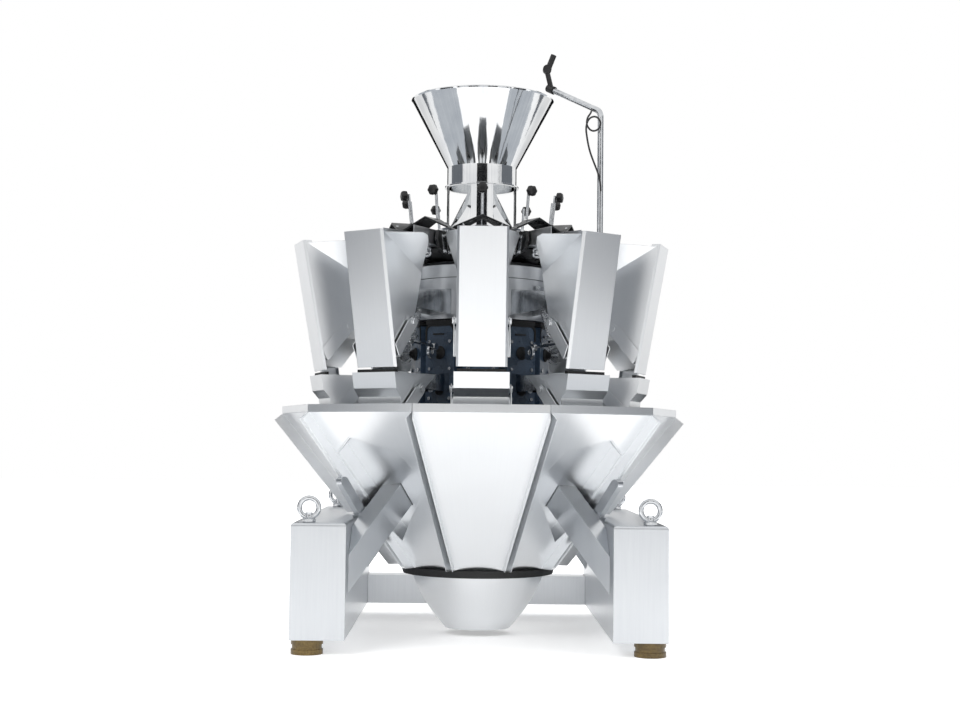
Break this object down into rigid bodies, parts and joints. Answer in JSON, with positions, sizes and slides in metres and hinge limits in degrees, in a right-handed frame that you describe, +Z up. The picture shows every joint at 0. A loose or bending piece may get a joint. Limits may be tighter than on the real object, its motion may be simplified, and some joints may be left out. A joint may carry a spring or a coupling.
{
  "type": "multihead weigher",
  "caption": "Combination weigher: an infeed funnel over a ring of sprung-gate hoppers, a ten-sided collecting chute and a low floor frame.",
  "frame": {"origin": "on the floor under the vertical axis of the machine", "axes": "+Z up, front towards -Y, +X to the right as seen from the front"},
  "size_m": [1.143, 1.092, 1.6066],
  "materials": {
    "satin_steel": "satin stainless sheet",
    "polished_steel": "polished stainless sheet",
    "plated_steel": "bright plated forging",
    "blue_grey_paint": "smooth blue-grey housing",
    "black_rubber": "matt black",
    "amber_rubber": "amber brown damping rubber",
    "black_plastic": "fine grained black moulding"
  },
  "bodies": {
    "machine": {"actuator_boxes": "blue_grey_paint", "body_drum": "polished_steel", "centre_base": "satin_steel", "chute_leg_panels": "satin_steel", "chute_panels": "satin_steel", "discharge_bowl": "satin_steel", "dispersion_cone": "polished_steel", "feed_hoppers": "satin_steel", "feeder_covers": "polished_steel", "feeder_drives": "black_rubber", "feeder_pans": "polished_steel", "floor_feet": "amber_rubber", "funnel_stand": "polished_steel", "hopper_hangers": "polished_steel", "infeed_funnel": "polished_steel", "knob_rods": "polished_steel", "leg_clamps": "satin_steel", "lifting_eyes": "plated_steel", "rear_beam": "satin_steel", "sensor_cable": "black_rubber", "sensor_head": "black_plastic", "sensor_post": "polished_steel", "side_boxes": "satin_steel", "star_knobs": "black_plastic", "support_legs": "satin_steel", "throat_collar": "black_rubber", "weigh_hoppers": "satin_steel"},
    "feed_gate_0": {"feed_gate_0": "satin_steel"},
    "weigh_gate_0": {"weigh_gate_0": "satin_steel"},
    "feed_gate_1": {"feed_gate_1": "satin_steel"},
    "weigh_gate_1": {"weigh_gate_1": "satin_steel"},
    "feed_gate_2": {"feed_gate_2": "satin_steel"},
    "weigh_gate_2": {"weigh_gate_2": "satin_steel"},
    "feed_gate_3": {"feed_gate_3": "satin_steel"},
    "weigh_gate_3": {"weigh_gate_3": "satin_steel"},
    "feed_gate_4": {"feed_gate_4": "satin_steel"},
    "weigh_gate_4": {"weigh_gate_4": "satin_steel"},
    "feed_gate_5": {"feed_gate_5": "satin_steel"},
    "weigh_gate_5": {"weigh_gate_5": "satin_steel"},
    "feed_gate_6": {"feed_gate_6": "satin_steel"},
    "weigh_gate_6": {"weigh_gate_6": "satin_steel"},
    "feed_gate_7": {"feed_gate_7": "satin_steel"},
    "weigh_gate_7": {"weigh_gate_7": "satin_steel"},
    "feed_gate_8": {"feed_gate_8": "satin_steel"},
    "weigh_gate_8": {"weigh_gate_8": "satin_steel"},
    "feed_gate_9": {"feed_gate_9": "satin_steel"},
    "weigh_gate_9": {"weigh_gate_9": "satin_steel"}
  },
  "joints": [
    {"name": "feed_gate_0_hinge", "type": "hinge", "parent": "machine", "child": "feed_gate_0", "pos_m": [0, -0.392, 0.836], "axis": [1, 0, 0], "range_deg": [0, 45], "stiffness_Nm_per_rad": 0.3, "springref_deg": -34.38},
    {"name": "weigh_gate_0_hinge", "type": "hinge", "parent": "machine", "child": "weigh_gate_0", "pos_m": [0, -0.364, 0.664], "axis": [1, 0, 0], "range_deg": [0, 45], "stiffness_Nm_per_rad": 0.3, "springref_deg": -34.38},
    {"name": "feed_gate_1_hinge", "type": "hinge", "parent": "machine", "child": "feed_gate_1", "pos_m": [0.23041, -0.31714, 0.836], "axis": [0.809, 0.5878, 0], "range_deg": [0, 45], "stiffness_Nm_per_rad": 0.3, "springref_deg": -34.38},
    {"name": "weigh_gate_1_hinge", "type": "hinge", "parent": "machine", "child": "weigh_gate_1", "pos_m": [0.21395, -0.29448, 0.664], "axis": [0.809, 0.5878, 0], "range_deg": [0, 45], "stiffness_Nm_per_rad": 0.3, "springref_deg": -34.38},
    {"name": "feed_gate_2_hinge", "type": "hinge", "parent": "machine", "child": "feed_gate_2", "pos_m": [0.37281, -0.12114, 0.836], "axis": [0.309, 0.9511, 0], "range_deg": [0, 45], "stiffness_Nm_per_rad": 0.3, "springref_deg": -34.38},
    {"name": "weigh_gate_2_hinge", "type": "hinge", "parent": "machine", "child": "weigh_gate_2", "pos_m": [0.34619, -0.11248, 0.664], "axis": [0.309, 0.9511, 0], "range_deg": [0, 45], "stiffness_Nm_per_rad": 0.3, "springref_deg": -34.38},
    {"name": "feed_gate_3_hinge", "type": "hinge", "parent": "machine", "child": "feed_gate_3", "pos_m": [0.37281, 0.12114, 0.836], "axis": [-0.309, 0.9511, 0], "range_deg": [0, 45], "stiffness_Nm_per_rad": 0.3, "springref_deg": -34.38},
    {"name": "weigh_gate_3_hinge", "type": "hinge", "parent": "machine", "child": "weigh_gate_3", "pos_m": [0.34619, 0.11248, 0.664], "axis": [-0.309, 0.9511, 0], "range_deg": [0, 45], "stiffness_Nm_per_rad": 0.3, "springref_deg": -34.38},
    {"name": "feed_gate_4_hinge", "type": "hinge", "parent": "machine", "child": "feed_gate_4", "pos_m": [0.23041, 0.31714, 0.836], "axis": [-0.809, 0.5878, 0], "range_deg": [0, 45], "stiffness_Nm_per_rad": 0.3, "springref_deg": -34.38},
    {"name": "weigh_gate_4_hinge", "type": "hinge", "parent": "machine", "child": "weigh_gate_4", "pos_m": [0.21395, 0.29448, 0.664], "axis": [-0.809, 0.5878, 0], "range_deg": [0, 45], "stiffness_Nm_per_rad": 0.3, "springref_deg": -34.38},
    {"name": "feed_gate_5_hinge", "type": "hinge", "parent": "machine", "child": "feed_gate_5", "pos_m": [0, 0.392, 0.836], "axis": [-1, 0, 0], "range_deg": [0, 45], "stiffness_Nm_per_rad": 0.3, "springref_deg": -34.38},
    {"name": "weigh_gate_5_hinge", "type": "hinge", "parent": "machine", "child": "weigh_gate_5", "pos_m": [0, 0.364, 0.664], "axis": [-1, 0, 0], "range_deg": [0, 45], "stiffness_Nm_per_rad": 0.3, "springref_deg": -34.38},
    {"name": "feed_gate_6_hinge", "type": "hinge", "parent": "machine", "child": "feed_gate_6", "pos_m": [-0.23041, 0.31714, 0.836], "axis": [-0.809, -0.5878, 0], "range_deg": [0, 45], "stiffness_Nm_per_rad": 0.3, "springref_deg": -34.38},
    {"name": "weigh_gate_6_hinge", "type": "hinge", "parent": "machine", "child": "weigh_gate_6", "pos_m": [-0.21395, 0.29448, 0.664], "axis": [-0.809, -0.5878, 0], "range_deg": [0, 45], "stiffness_Nm_per_rad": 0.3, "springref_deg": -34.38},
    {"name": "feed_gate_7_hinge", "type": "hinge", "parent": "machine", "child": "feed_gate_7", "pos_m": [-0.37281, 0.12114, 0.836], "axis": [-0.309, -0.9511, 0], "range_deg": [0, 45], "stiffness_Nm_per_rad": 0.3, "springref_deg": -34.38},
    {"name": "weigh_gate_7_hinge", "type": "hinge", "parent": "machine", "child": "weigh_gate_7", "pos_m": [-0.34619, 0.11248, 0.664], "axis": [-0.309, -0.9511, 0], "range_deg": [0, 45], "stiffness_Nm_per_rad": 0.3, "springref_deg": -34.38},
    {"name": "feed_gate_8_hinge", "type": "hinge", "parent": "machine", "child": "feed_gate_8", "pos_m": [-0.37281, -0.12114, 0.836], "axis": [0.309, -0.9511, 0], "range_deg": [0, 45], "stiffness_Nm_per_rad": 0.3, "springref_deg": -34.38},
    {"name": "weigh_gate_8_hinge", "type": "hinge", "parent": "machine", "child": "weigh_gate_8", "pos_m": [-0.34619, -0.11248, 0.664], "axis": [0.309, -0.9511, 0], "range_deg": [0, 45], "stiffness_Nm_per_rad": 0.3, "springref_deg": -34.38},
    {"name": "feed_gate_9_hinge", "type": "hinge", "parent": "machine", "child": "feed_gate_9", "pos_m": [-0.23041, -0.31714, 0.836], "axis": [0.809, -0.5878, 0], "range_deg": [0, 45], "stiffness_Nm_per_rad": 0.3, "springref_deg": -34.38},
    {"name": "weigh_gate_9_hinge", "type": "hinge", "parent": "machine", "child": "weigh_gate_9", "pos_m": [-0.21395, -0.29448, 0.664], "axis": [0.809, -0.5878, 0], "range_deg": [0, 45], "stiffness_Nm_per_rad": 0.3, "springref_deg": -34.38}
  ]
}
